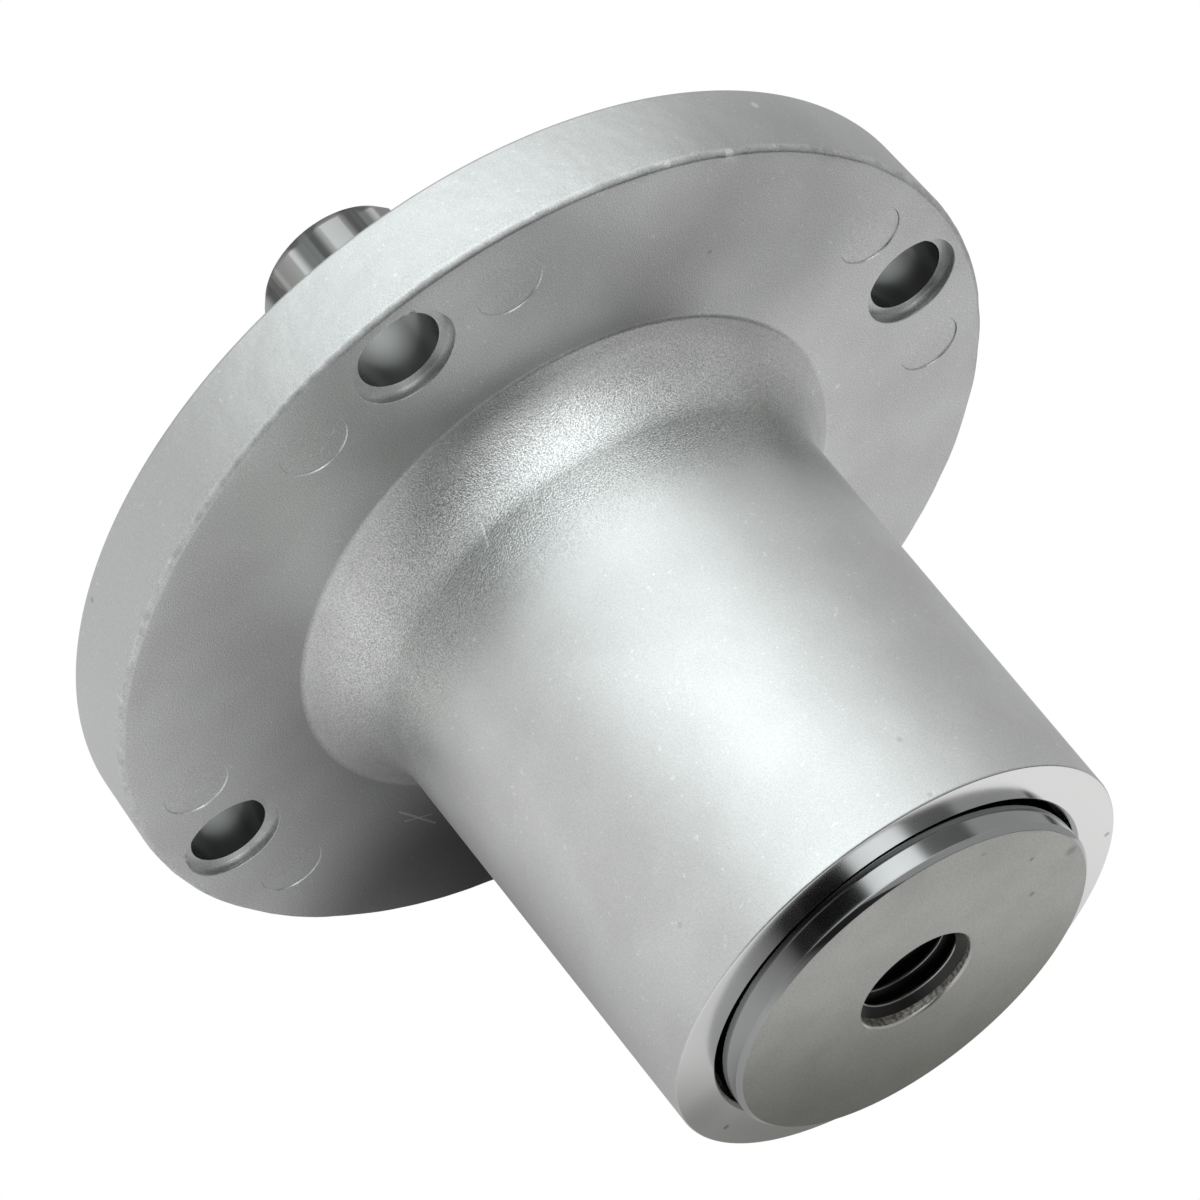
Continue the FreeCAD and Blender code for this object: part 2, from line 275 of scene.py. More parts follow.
floor_height = Matrix.Translation((0, 0, cad_box[0][2] - floor_gap))
floor, paint = flat_piece("floor", floor_reach, floor_height)
spot = paint.add("TexCoord").outputs["Object"]
pale = paint.add("BsdfDiffuse", (floor_colour, floor_colour, floor_colour, 1)).outputs[0]
white = paint.add("Emission", None, 1.0).outputs[0]
clear = paint.add("BsdfTransparent").outputs[0]
far = paint.ramp(paint.vector("LENGTH", spot), *floor_fade, floor_light, 1.0)
seen = paint.add("MixShader", far, pale, white).outputs[0]
beneath = paint.add("NewGeometry").outputs["Backfacing"]
paint.add("OutputMaterial", paint.add("MixShader", beneath, seen, clear).outputs[0])
floor.visible_shadow = False
floor.visible_diffuse = False
floor.visible_glossy = False
print("floor at", round(floor_height.translation.z, 4))

# %% [markdown]
# ## Helpers for bmesh
# Most pieces here are turned on a lathe or cast round, so each starts as half of its section: a wire
# of corners, some of them rounded by the bevel operator, that the spin operator turns into the piece.

# %% Helpers: a rounded section, a full spin and a finished object
def section(corners, closed):
    """Wire of (radius, height, rounding radius, segments) corners, in millimetres."""
    mesh = bmesh.new()
    points = [Vector((corner[0] * mm, 0, corner[1] * mm)) for corner in corners]
    verts = [mesh.verts.new(point) for point in points]
    count = len(verts)
    for index in range(count if closed else count - 1):
        mesh.edges.new((verts[index], verts[(index + 1) % count]))
    for index, corner in enumerate(corners):
        if len(corner) > 2:
            before = (points[index - 1] - points[index]).normalized()
            after = (points[(index + 1) % count] - points[index]).normalized()
            turn = math.pi - before.angle(after)
            bmesh.ops.bevel(
                mesh,
                geom=[verts[index]],
                offset=corner[2] * mm * math.tan(turn / 2),
                offset_type="OFFSET",
                segments=corner[3],
                profile=0.5,
                affect="VERTICES",
                material=-1,
            )
    return mesh


def spin_round(mesh, steps):
    bmesh.ops.spin(
        mesh,
        geom=mesh.verts[:] + mesh.edges[:],
        cent=(0, 0, 0),
        axis=(0, 0, 1),
        dvec=(0, 0, 0),
        angle=math.tau,
        steps=steps,
        use_merge=True,
        use_duplicate=False,
    )
    bmesh.ops.remove_doubles(mesh, verts=mesh.verts[:], dist=1e-6)
    bmesh.ops.recalc_face_normals(mesh, faces=mesh.faces[:])


def finished(mesh, name):
    for face in mesh.faces:
        face.smooth = True
    data = bpy.data.meshes.new(name)
    mesh.to_mesh(data)
    mesh.free()
    piece = bpy.data.objects.new(name, data)
    scene.collection.objects.link(piece)
    print(name, "faces:", len(data.polygons))
    return piece


print("helpers for bmesh ready")

# %% [markdown]
# The CAD part and its record already hold the main sizes. Reading them from there, instead of writing
# them down again, keeps the two models the same size.

# %% Housing sizes, read from the frame where it holds them
def node_size(name):
    low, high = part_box(name)
    return round(high[0] / mm, 3), round(low[2] / mm, 3), round(high[2] / mm, 3)


flange_radius, barrel_end, pilot_top = node_size("housing")
ring_radius, lower_seat_low, lower_seat_top = node_size("lower_bearing_outer_ring")
upper_seat_low = node_size("upper_bearing_outer_ring")[1]
bolt_circle = mounts["deck_bolts"]["dims"]["pcd_mm"] / 2
bolt_hole = mounts["deck_bolts"]["dims"]["hole_r_mm"]
pilot_radius = mounts["deck_pilot"]["dims"]["r_mm"]
print("flange", flange_radius, "barrel end", barrel_end, "pilot top", pilot_top, "ring", ring_radius)
print("seats", lower_seat_low, lower_seat_top, upper_seat_low)
print("bolt circle", bolt_circle, "bolt hole", bolt_hole, "pilot", pilot_radius)

# %% [markdown]
# ## The housing: one round casting
# The real housing is poured into a steel mould and then bored. It is round all over but for its four
# bolt holes, so half of its section is drawn once and spun. The section follows the sizes of the CAD
# solid, with the soft edges that a mould and a blasting cabinet leave. Scaled cylinders with a bevel
# would do for a sketch, but not for the long curve from the flange into the tapering barrel.

# %% Section of the housing and its full spin
flange_thickness = 12.0
flange_round = 0.9
face_ring = 2.2
draft = math.tan(math.radians(1.4))
barrel_end_wall = 5.85
barrel_length = -barrel_end - flange_thickness
shoulder_reach = 8.3
shoulder_slope = math.tan(math.radians(56))
shoulder_round = 12.0
crease_round = 1.4
bearing_stop = 4.2
head_step = 0.15
lead_in = 0.5
pilot_round = 0.7
deck_edge_round = 0.6
small_round = 0.3
bore_round = 0.2
hair_round = 0.1
round_steps = 360

head_bore = ring_radius + head_step
barrel_radius = head_bore + barrel_end_wall
core_radius = ring_radius - bearing_stop
crease_radius = barrel_radius + shoulder_reach
corner_drop = (crease_radius - barrel_radius - barrel_length * draft) / (shoulder_slope - draft)
housing_corners = [
    (pilot_radius, pilot_top, pilot_round, 4),
    (pilot_radius, 0, small_round, 2),
    (flange_radius, 0, deck_edge_round, 4),
    (flange_radius, -flange_thickness, flange_round, 6),
    (flange_radius - face_ring, -flange_thickness),
    (crease_radius, -flange_thickness, crease_round, 6),
    (crease_radius - corner_drop * shoulder_slope, -flange_thickness - corner_drop, shoulder_round, 20),
    (barrel_radius, barrel_end, small_round, 3),
    (head_bore + lead_in, barrel_end, hair_round, 2),
    (head_bore, barrel_end + lead_in, bore_round, 2),
    (head_bore, lower_seat_low - lead_in),
    (ring_radius, lower_seat_low - lead_in + head_step),
    (ring_radius, lower_seat_top),
    (core_radius, lower_seat_top, small_round, 2),
    (core_radius, upper_seat_low, small_round, 2),
    (ring_radius, upper_seat_low),
    (ring_radius, pilot_top - lead_in, bore_round, 2),
    (ring_radius + lead_in, pilot_top, hair_round, 2),
]
casting = section(housing_corners, closed=True)
spin_round(casting, round_steps)
print("housing rings spun:", len(casting.verts) // round_steps)

# %% [markdown]
# The edge of a real casting is never quite true, and one knock has raised a small burr on this one. The
# vertices of the rim are pushed inwards by a slow and a quick noise together, and those near the burr are
# pulled out of the flat face. The extra ring of vertices just inside the rim keeps that face flat.

# %% A slightly untrue rim, and the burr beside the upper edge of the flange
rim_wave = 0.1
rim_zone = 1.3
slow_waves = 160
quick_waves = 380
quick_share = 0.7
wave_middle = 0.5
wave_lift = 0.6
burr = Vector((47.7, 45.1, -flange_thickness)) * mm
burr_reach = 1.6
burr_height = 0.35
for vert in casting.verts:
    across = math.hypot(vert.co.x, vert.co.y)
    near_rim = across > (flange_radius - rim_zone) * mm
    if near_rim and vert.co.z < (rim_zone - flange_thickness) * mm:
        swell = noise.noise(vert.co * slow_waves) + quick_share * noise.noise(vert.co * quick_waves)
        inwards = rim_wave * max(0.0, wave_middle + swell) * mm
        vert.co.x -= vert.co.x / across * inwards
        vert.co.y -= vert.co.y / across * inwards
        vert.co.z += wave_lift * inwards
    near_burr = 1 - (vert.co - burr).length / (burr_reach * mm)
    if near_burr > 0:
        vert.co.z -= burr_height * near_burr * mm
print("rim pushed in by about", rim_wave, "mm")

# %% [markdown]
# ## Bolt holes and ejector marks
# Holes are the one thing that a lathe can't make. Each hole, with its shallow recess and narrow lip, is
# a small turned cutter, and so is each mark of an ejector pin. A Boolean modifier takes them all out of
# the casting at once. The cutters flare at the mouth, so the lips of the holes come out a little broken.

# %% Cutters of the holes and marks
recess_radius = 6.7
recess_depth = 1.5
mark_radius = 4.5
mark_depth = 0.16
mark_turn = 15
mark_flare = 0.6
deck_flare = 1.3
deck_lip = 0.3
wall_lean = 0.15
lip_height = 0.1
lip_flare = 1.1
clear_of_metal = 1.0
hole_steps = 96
hole_count = mounts["deck_bolts"]["dims"]["count"]

hole_corners = [
    (0, clear_of_metal),
    (bolt_hole + deck_flare, clear_of_metal),
    (bolt_hole, -deck_lip, small_round, 2),
    (bolt_hole, recess_depth - flange_thickness),
    (recess_radius, recess_depth - flange_thickness),
    (recess_radius + wall_lean, lip_height - flange_thickness),
    (recess_radius + wall_lean + lip_flare, -clear_of_metal - flange_thickness),
    (0, -clear_of_metal - flange_thickness),
]
mark_corners = [
    (0, mark_depth - flange_thickness),
    (mark_radius, mark_depth - flange_thickness),
    (mark_radius + mark_flare, mark_depth - clear_of_metal - flange_thickness),
    (0, mark_depth - clear_of_metal - flange_thickness),
]


def cutter(corners, turns_deg):
    """One turned cutter on the bolt circle at each of the given turns."""
    whole = bmesh.new()
    for turn in turns_deg:
        part = section(corners, closed=False)
        spin_round(part, hole_steps)
        bmesh.ops.translate(part, verts=part.verts[:], vec=(bolt_circle * mm, 0, 0))
        place = Matrix.Rotation(math.radians(turn), 3, "Z")
        bmesh.ops.rotate(part, verts=part.verts[:], cent=(0, 0, 0), matrix=place)
        piece = bpy.data.meshes.new("one_cutter")
        part.to_mesh(piece)
        part.free()
        whole.from_mesh(piece)
        bpy.data.meshes.remove(piece)
    return whole


hole_turns = [index * 360 / hole_count for index in range(hole_count)]
mark_turns = [turn + side * mark_turn for turn in hole_turns for side in (-1, 1)]
holes = finished(cutter(hole_corners, hole_turns), "hole_cutters")
marks = finished(cutter(mark_corners, mark_turns), "mark_cutters")

# %% [markdown]
# The cut is made once and kept, so that the finishes can be given to its faces. Edges sharper than a set
# angle are marked sharp, and weighted normals keep the flat faces flat right up to their soft edges.

# %% The cut housing takes the place of the CAD solid
def keep_result(piece):
    """Makes the result of the piece's modifiers its mesh."""
    done = bpy.data.meshes.new_from_object(piece.evaluated_get(bpy.context.evaluated_depsgraph_get()))
    piece.modifiers.clear()
    piece.data = done


sharp_edge = math.radians(50)
even_weight = 80
housing = finished(casting, "cast_housing")
for tool in (holes, marks):
    cut = housing.modifiers.new("cut", "BOOLEAN")
    cut.operation = "DIFFERENCE"
    cut.solver = "EXACT"
    cut.object = tool
keep_result(housing)
for tool in (holes, marks):
    bpy.data.objects.remove(tool)
housing.data.set_sharp_from_angle(angle=sharp_edge)
fair = housing.modifiers.new("even_shading", "WEIGHTED_NORMAL")
fair.weight = even_weight
fair.keep_sharp = True
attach(housing, "housing")
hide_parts("housing")
print("housing faces after the cuts:", len(housing.data.polygons))

# %% [markdown]
# ## The shaft: turned, then splined
# The shaft is turned from bar, drilled at both ends and tapped, and its splines are rolled or cut last.
# What the frame doesn't hold is written here: the holes' depths, the steps and the shape of the spline.

# %% Sizes of the shaft
head_radius, head_face, shaft_top = node_size("spindle_shaft")
bearing_bore = 12.5
blade_hole = mounts["blade_bolt"]["dims"]["r_mm"]
pulley_hole = mounts["pulley_bolt"]["dims"]["r_mm"]
blade_hole_depth = 38.0
pulley_hole_depth = 26.0
drill_point = math.tan(math.radians(59))
rough_mouth = 1.9
head_thickness = 9.0
head_bevel = 0.6
inner_ring_stop = 15.5
journal_top = 4.2
spline_radius = 12.4
spline_depth = 0.95
spline_teeth = 9
spline_first_tooth = 16.5
tip_land = 14.0
root_land = 6.0
run_out = 1.7
end_bevel = 1.6
mouth_bevel = 0.3
journal_bevel = 0.5
pulley_bevel = 0.6
head_round = 0.15
head_back_round = 0.6

# %% [markdown]
# The lathe work is one spin, as for the housing, but the section is open: it starts and ends on the axis,
# at the points of the two drilled holes. The photo shows no notches in the outline of the splined end, so
# its chamfer runs right down to the floor of the grooves.

# %% Lathe work on the shaft
blade_drill_end = head_face + blade_hole_depth
pulley_drill_end = shaft_top - pulley_hole_depth
shaft_corners = [
    (0, blade_drill_end + blade_hole / drill_point),
    (blade_hole, blade_drill_end),
    (blade_hole, head_face + rough_mouth),
    (blade_hole, head_face + mouth_bevel, bore_round, 2),
    (blade_hole + mouth_bevel, head_face, hair_round, 2),
    (head_radius - head_bevel, head_face, head_round, 3),
    (head_radius, head_face + head_bevel, head_round, 3),
    (head_radius, head_face + head_thickness, head_back_round, 4),
    (inner_ring_stop, head_face + head_thickness),
    (inner_ring_stop, lower_seat_low),
    (bearing_bore, lower_seat_low),
    (bearing_bore, journal_top - journal_bevel, bore_round, 2),
    (spline_radius, journal_top),
    (spline_radius, journal_top + run_out / 2),
    (spline_radius, journal_top + run_out),
    (spline_radius, shaft_top - end_bevel, small_round, 3),
    (spline_radius - spline_depth, shaft_top, hair_round, 2),
    (pulley_hole + pulley_bevel, shaft_top, hair_round, 2),
    (pulley_hole, shaft_top - pulley_bevel, hair_round, 2),
    (pulley_hole, pulley_drill_end),
    (0, pulley_drill_end - pulley_hole / drill_point),
]
turned_shaft = section(shaft_corners, closed=False)
half_step = Matrix.Rotation(math.pi / round_steps, 3, "Z")
bmesh.ops.rotate(turned_shaft, verts=turned_shaft.verts[:], cent=(0, 0, 0), matrix=half_step)
spin_round(turned_shaft, round_steps)
print("shaft from", head_face, "to", shaft_top)

# %% [markdown]
# The spline is made the way the cutter makes it: wherever a groove runs, the vertices of the plain end
# are moved in to the groove's floor and flanks, and out again at its run-out. Nine cutters and a Boolean
# would give the same grooves, but with long thin faces that shade badly.

# %% Grooves of the spline
tooth_pitch = 360 / spline_teeth
first_groove = spline_first_tooth + tooth_pitch / 2
flank = (tooth_pitch - tip_land - root_land) / 2
end_wall_from = pulley_hole + 1
just_above = 0.01
for vert in turned_shaft.verts:
    across = math.hypot(vert.co.x, vert.co.y) / mm
    height = vert.co.z / mm
    if across > end_wall_from and height > journal_top + just_above:
        angle = math.degrees(math.atan2(vert.co.y, vert.co.x)) - first_groove
        from_centre = abs((angle + tooth_pitch / 2) % tooth_pitch - tooth_pitch / 2)
        deep = min(1.0, max(0.0, (root_land / 2 + flank - from_centre) / flank))
        deep *= min(1.0, (height - journal_top) / run_out)
        wanted = min(across, spline_radius - spline_depth * deep)
        vert.co.x *= wanted / across
        vert.co.y *= wanted / across
shaft = finished(turned_shaft, "turned_shaft")
fair = shaft.modifiers.new("even_shading", "WEIGHTED_NORMAL")
fair.weight = even_weight
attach(shaft, "shaft")
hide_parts("spindle_shaft")
print("grooves:", spline_teeth, "depth", spline_depth)

# %% [markdown]
# ## Threads
# The head takes the bolt of the blade, and the splined end the bolt of the pulley. The ridge of a
# standard thread has a height that is a set share of its pitch. The blade's thread has 11 turns to the
# inch, as counted in the photo.

# %% Sizes of the two threads
thread_steps = 60
thread_bite = 0.02
thread_height = 0.5413
root_share = 7 / 8
crest_share = 0.09
thread_fade = thread_steps // 3
inch = 25.4
blade_pitch = inch / 11
blade_turns = 12
blade_thread_start = 1.1
pulley_pitch = 1.5
pulley_turns = 14
pulley_thread_start = 1.4
print("blade pitch", round(blade_pitch, 3), "pulley pitch", pulley_pitch)

# %% [markdown]
# A thread is one ridge that climbs as it goes round. The spin operator does this too: besides the
# angle it takes a shift for each step, so a small four-sided section becomes a long screw ridge. Its
# first and last third of a turn fade into the wall, as they do where a tap starts and stops. A bump on a
# plain wall would look right from the front, but not against the dark of the hole.

# %% Ridges of the blade's thread and the pulley's thread
def thread_ridge(name, radius, pitch, turns, start_z, climb):
    """Ridge of an internal thread. climb is 1 for a thread that goes up and -1 for one that goes down."""
    ridge = bmesh.new()
    depth = thread_height * pitch
    shape = [
        (radius + thread_bite, -root_share * pitch / 2),
        (radius - depth, -crest_share * pitch / 2),
        (radius - depth, crest_share * pitch / 2),
        (radius + thread_bite, root_share * pitch / 2),
    ]
    verts = [ridge.verts.new((across * mm, 0, (start_z + up) * mm)) for across, up in shape]
    ridge.faces.new(verts)
    count = int(thread_steps * turns)
    bmesh.ops.spin(
        ridge,
        geom=ridge.verts[:] + ridge.edges[:] + ridge.faces[:],
        cent=(0, 0, 0),
        axis=(0, 0, 1),
        dvec=(0, 0, climb * pitch / thread_steps * mm),
        angle=climb * math.tau * turns,
        steps=count,
        use_merge=False,
        use_duplicate=False,
    )
    for vert in ridge.verts:
        across = math.hypot(vert.co.x, vert.co.y) / mm
        if across < radius:
            angle = math.atan2(vert.co.y, vert.co.x) / math.tau * climb
            turn = (vert.co.z / mm - start_z) / pitch * climb
            step = (round(turn - angle) + angle) * thread_steps
            left = min(step, count - step) / thread_fade
            wanted = radius - depth * min(1.0, max(0.0, left))
            vert.co.x *= wanted / across
            vert.co.y *= wanted / across
    bmesh.ops.recalc_face_normals(ridge, faces=ridge.faces[:])
    piece = finished(ridge, name)
    for face in piece.data.polygons:
        face.use_smooth = False
    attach(piece, "shaft")
    return piece


blade_start = head_face + blade_thread_start
blade_thread = thread_ridge("blade_thread", blade_hole, blade_pitch, blade_turns, blade_start, 1)
pulley_start = shaft_top - pulley_thread_start
pulley_thread = thread_ridge("pulley_thread", pulley_hole, pulley_pitch, pulley_turns, pulley_start, -1)

# %% [markdown]
# ## Finishes
# All finishes are made of nodes on Object coordinates, in metres, so that they stay on the metal from
# every side. Bare metal is a Principled shader with Metallic at 1. What tells a blasted casting from a
# ground shaft is how rough it is and how fine its bumps are, so each finish is mainly those two.

# %% Helper that builds a finish out of nodes
# A noise lies mostly in the wide range. The narrow one gives it more contrast.
noise_wide = (0.3, 0.7)
noise_narrow = (0.35, 0.65)


class Finish(Nodes):
    """A new material with a Principled shader on Object coordinates."""

    def __init__(self, name, colour, rough, metallic=1.0):
        self.material = bpy.data.materials.new(name)
        self.material.use_nodes = True
        super().__init__(self.material.node_tree)
        self.shader = self.tree.nodes["Principled BSDF"]
        self.set("Base Color", (*colour, 1))
        self.set("Roughness", rough)
        self.set("Metallic", metallic)
        self.place = self.add("TexCoord").outputs["Object"]

    def set(self, socket, value):
        self.put(value, self.shader.inputs[socket])

    def noise(self, scale, detail):
        node = self.add("TexNoise")
        self.put(self.place, node.inputs["Vector"])
        self.put(scale, node.inputs["Scale"])
        self.put(detail, node.inputs["Detail"])
        return node.outputs["Fac"]

    def axis_values(self):
        """Distance from the shaft's axis, and height, in metres."""
        flat = self.vector("MULTIPLY", self.place, (1, 1, 0))
        return self.vector("LENGTH", flat), self.add("SeparateXYZ", self.place).outputs["Z"]

    def tint(self, colour, shade):
        """The colour of the metal, made brighter or darker by a shade."""
        self.set("Base Color", self.vector("SCALE", colour, shade))

    def bump(self, height, distance, strength=1.0, before=None):
        """Dents as deep as the distance where the height falls by 1, on top of the bumps before."""
        node = self.add("Bump")
        self.put(distance, node.inputs["Distance"])
        self.put(strength, node.inputs["Strength"])
        self.put(height, node.inputs["Height"])
        self.put(before, node.inputs["Normal"])
        return node.outputs["Normal"]


print("helper for finishes ready")

# %% [markdown]
# ### Blasted aluminium
# The casting was blasted with fine shot. Each grain of shot leaves a tiny dent, so up close the metal
# sparkles, and from a step away it is satin. The skin is coarser and glossier at the shoulder than on the
# barrel. A slow noise makes clouds of duller metal. The rim is darkened all round by painted shade, most
# of all on one side.

# %% Colour of the casting
cast_bright = (0.765, 0.777, 0.77)
cast_dull = (0.697, 0.706, 0.697)
# Grey of the painted shade on the rim.
rim_shade_grey = (0.60, 0.612, 0.605)
cloud_scale = 60
rim_depths = (1.0, 0.3)
shaded_side_azimuth = -50
shaded_side_start = 20 * mm
shaded_side_shares = (0.4, 0.95)
cast_rough = 0.38

cast = Finish("blasted_aluminium", cast_bright, cast_rough)
from_axis, height = cast.axis_values()
metal = cast.colours(cast.ramp(cast.noise(cloud_scale, 3), *noise_narrow), cast_dull, cast_bright)
# Painted shade: the rim is darkened all round, and most on one side.
at_rim = cast.ramp(from_axis, *[(flange_radius - depth) * mm for depth in rim_depths])
to_shaded_side = cast.vector("DOT_PRODUCT", cast.place, direction(shaded_side_azimuth, 0))
rim_shade_share = cast.ramp(to_shaded_side, shaded_side_start, flange_radius * mm, *shaded_side_shares)
metal = cast.colours(cast.math("MULTIPLY", at_rim, rim_shade_share), metal, rim_shade_grey)
print("casting colours:", cast_dull, "to", cast_bright)

# %% [markdown]
# One fine noise makes both the dents and the sparkle, so that each grain has its own light and shade. A
# slow bump lets the rim swell a little. The edge of the flange is worn to a pale, rough line, which is
# partly a painted highlight, and single painted glints are left here and there. Real dents in the mesh
# would need millions of faces.

# %% Grain of the casting, the worn edge with its painted highlight, and the painted glints
grain_size = 0.2 * mm
grain_colour = 0.42
grain_depth = 0.08 * mm
fine_share = 0.2
shoulder_heights = (-30 * mm, -13 * mm)
shoulder_soft = 5 * mm
shoulder_rough = 0.25
swell_scale = 260
rim_swell = 0.15 * mm
edge_start = flange_radius + flange_thickness - flange_round
edge_width = 0.3
edge_rough = 0.6
edge_wear_and_highlight = 1.2
edge_scale = 500
edge_breaks = (0.35, 0.6)
glint_scale = 1300
glint_peaks = (0.7, 0.76)
glint_bright = 1.15

grain = cast.noise(1 / grain_size, 2)
near_shoulder = cast.band(height, *shoulder_heights, shoulder_soft)
coarseness = cast.ramp(near_shoulder, 0, 1, fine_share, 1.0, smooth=False)
swell = cast.bump(cast.noise(swell_scale, 2), rim_swell, at_rim)
cast.set("Normal", cast.bump(grain, grain_depth, coarseness, before=swell))

past_edge = cast.math("SUBTRACT", from_axis, height)
past_edge = cast.ramp(past_edge, edge_start * mm, (edge_start + edge_width) * mm)
at_edge = cast.math("MULTIPLY", at_rim, past_edge)
blasted_rough = cast.mix(near_shoulder, cast_rough, shoulder_rough)
cast.set("Roughness", cast.mix(at_edge, blasted_rough, edge_rough))

sparkle = cast.ramp(grain, *noise_wide, -grain_colour, grain_colour, smooth=False)
sparkle = cast.math("MULTIPLY", sparkle, coarseness)
# The pale line along the flange's edge is worn metal and partly a painted highlight.
worn_and_highlighted_edge = cast.math("MULTIPLY", at_edge, cast.ramp(cast.noise(edge_scale, 2), *edge_breaks))
# Painted glints: single bright specks in the colour.
painted_glints = cast.ramp(cast.noise(glint_scale, 1), *glint_peaks, 1.0, glint_bright)
shade = cast.math("MULTIPLY", cast.math("ADD", sparkle, cast.mix(worn_and_highlighted_edge, 1.0, edge_wear_and_highlight)), painted_glints)
print("grain:", grain_size / mm, "mm, depth", grain_depth / mm, "mm")

# %% [markdown]
# Stains, knocks and scratches are places of their own, and so are patches of painted shade and painted
# highlights. Each is a soft spot or a thin line that multiplies the colour by its share: below 1 it
# darkens the colour and above 1 it brightens it. A painted image would do this too, but it would need an
# unwrapped mesh. Here the distance to a point or a line is enough.

# %% Helpers for soft spots and thin lines
def spots(finish, shade, places):
    """A shade multiplied at soft spots: name, (middle, inner and outer reach in mm, share)."""
    for middle, inner, outer, share in places.values():
        distance = finish.vector("DISTANCE", finish.place, Vector(middle) * mm)
        in_spot = finish.ramp(distance, inner * mm, outer * mm, share, 1.0)
        shade = finish.math("MULTIPLY", shade, in_spot)
    return shade


def lines(finish, shade, places):
    """The same along thin lines: name, (start, end, width in mm, share)."""
    for start, end, width, share in places.values():
        run = (Vector(end) - Vector(start)) * mm
        from_start = finish.vector("SUBTRACT", finish.place, Vector(start) * mm)
        along = finish.vector("DOT_PRODUCT", from_start, run)
        along = finish.ramp(along, 0, run.length_squared, smooth=False)
        distance = finish.vector("DISTANCE", from_start, finish.vector("SCALE", tuple(run), along))
        on_line = finish.ramp(distance, width * mm, 2 * width * mm, share, 1.0)
        shade = finish.math("MULTIPLY", shade, on_line)
    return shade


print("helpers for spots and lines ready")

# %% [markdown]
# The places were read from the photo, in millimetres on the part. A spot says its middle, how far it is
# even and how far it reaches. A line says its two ends and its width. Most broad spots are painted shade
# and painted highlights on the flange, the rim and the shoulder; the dull patch by a bolt hole is a
# stain.
# The small ones are knocks and specks, and the dents are painted shade.

# %% Stains, knocks, scratches, and painted shade and highlights on the casting
stains_knocks_and_painted_light = {
    "dull patch by a bolt hole": ((30, 43, -12), 9, 25, 0.66),
    # The next five spots are painted shade on the flange.
    "painted shade at the flange's low side": ((-42, -47, -12), 8, 28, 0.48),
    "painted shade on half of the flange": ((-25, 85, -12), 35, 62, 0.84),
    "painted shade on the far side of the flange": ((-62, 30, -12), 10, 40, 0.85),
    "painted shade by the near hole": ((53, 10, -13), 3, 12, 0.88),
    "painted shade towards the upper hole": ((44, 38, -13), 4, 20, 0.93),
    # The next eight spots are painted highlights and painted shade on the rim and the shoulder.
    "painted highlight at the far end of the rim": ((37, 54, -6), 6, 16, 1.13),
    "painted highlight above the shoulder": ((26, 30, -17), 4, 14, 1.14),
    "painted shade on the top of the shoulder": ((39, 8.5, -16.5), 2, 8, 0.87),
    "painted light along the crease": ((40, -4.5, -14), 1, 6, 1.12),
    "painted highlight below the shoulder": ((35, 0, -27.5), 2, 9, 1.1),
    "painted highlight at the shoulder's foot": ((17.5, -33, -21.5), 2, 9, 1.1),
    "painted highlight streak on the shoulder": ((36, 11, -29), 3, 16, 1.25),
    "painted shade on the side of the shoulder": ((32, -16, -23), 5, 15, 0.76),
    "white bruise at the edge": ((47.7, 45.1, -12), 0.4, 0.9, 1.5),
    "light nick beside it": ((53.7, 38.3, -11.9), 0.3, 0.7, 1.4),
    "light nick on the rim": ((40.2, 52.3, -3.4), 0.3, 0.8, 1.4),
    "dark speck on the rim": ((45.5, -47.8, -1.6), 0.2, 0.5, 0.7),
    "dark speck on the flange": ((34.5, 36.8, -12), 0.2, 0.5, 0.75),
    "pale speck on the flange": ((-8.4, 41.7, -12), 0.2, 0.6, 1.2),
    "pale speck by the crease": ((-3.5, 38.2, -13.2), 0.2, 0.6, 1.2),
    # The three dents are painted shade; the mesh has no dents.
    "painted shade of a dent high on the barrel": ((28.0, 16.0, -76.2), 0.1, 0.6, 0.8),
    "painted shade of a dent low on the barrel": ((28.5, 14.5, -84.2), 0.1, 0.5, 0.8),
    "painted shade of a dent on the other side": ((27.5, -16.7, -76.5), 0.1, 0.6, 0.85),
}
scratches = {
    "beside the crease": ((33.3, -5.7, -20.7), (32.8, -6.7, -23.5), 0.12, 1.5),
    "on the flange's low side": ((-21.7, -39.9, -12), (-30.0, -37.7, -12), 0.12, 1.6),
    "across it": ((-24.5, -40.4, -12), (-27.5, -37.2, -12), 0.1, 1.5),
    "on the barrel": ((33.5, 7.0, -45), (33.2, 8.5, -49), 0.1, 0.85),
}
cast.tint(metal, lines(cast, spots(cast, shade, stains_knocks_and_painted_light), scratches))
print("stains, knocks and painted light:", len(stains_knocks_and_painted_light), "scratches:", len(scratches))

# %% [markdown]
# ### Machined aluminium
# The barrel's end, the bore and the deck face were turned after blasting. Their fine tool marks run in
# circles, so the shine fans out across them: that is anisotropy, with the tangent turned round Z. Real
# grooves would be far too fine to model. One side of the barrel's end is darkened by painted shade, and
# it has a pit and a nick.

# %% Finish of the turned faces of the housing
machined_bright = (0.97, 0.97, 0.965)
machined_shade_grey = (0.45, 0.45, 0.43)
machined_rough = 0.17
machined_fan = 0.75
end_shade_azimuth = -115
end_shade_from = (14 * mm, 30 * mm)
end_heights = (-84 * mm, -80 * mm)
end_marks = {
    "pit low on the barrel's end": ((-5.7, -29.0, -84.9), 0.2, 0.6, 0.5),
    "grey touch beside it": ((2, -29, -84.9), 1, 6, 0.85),
    "nick at the right": ((-10.2, 29.2, -84.9), 0.2, 0.6, 0.6),
}

machined = Finish("machined_aluminium", machined_bright, machined_rough)
machined.set("Anisotropic", machined_fan)
machined.set("Tangent", machined.add("Tangent", direction_type="RADIAL", axis="Z").outputs["Tangent"])
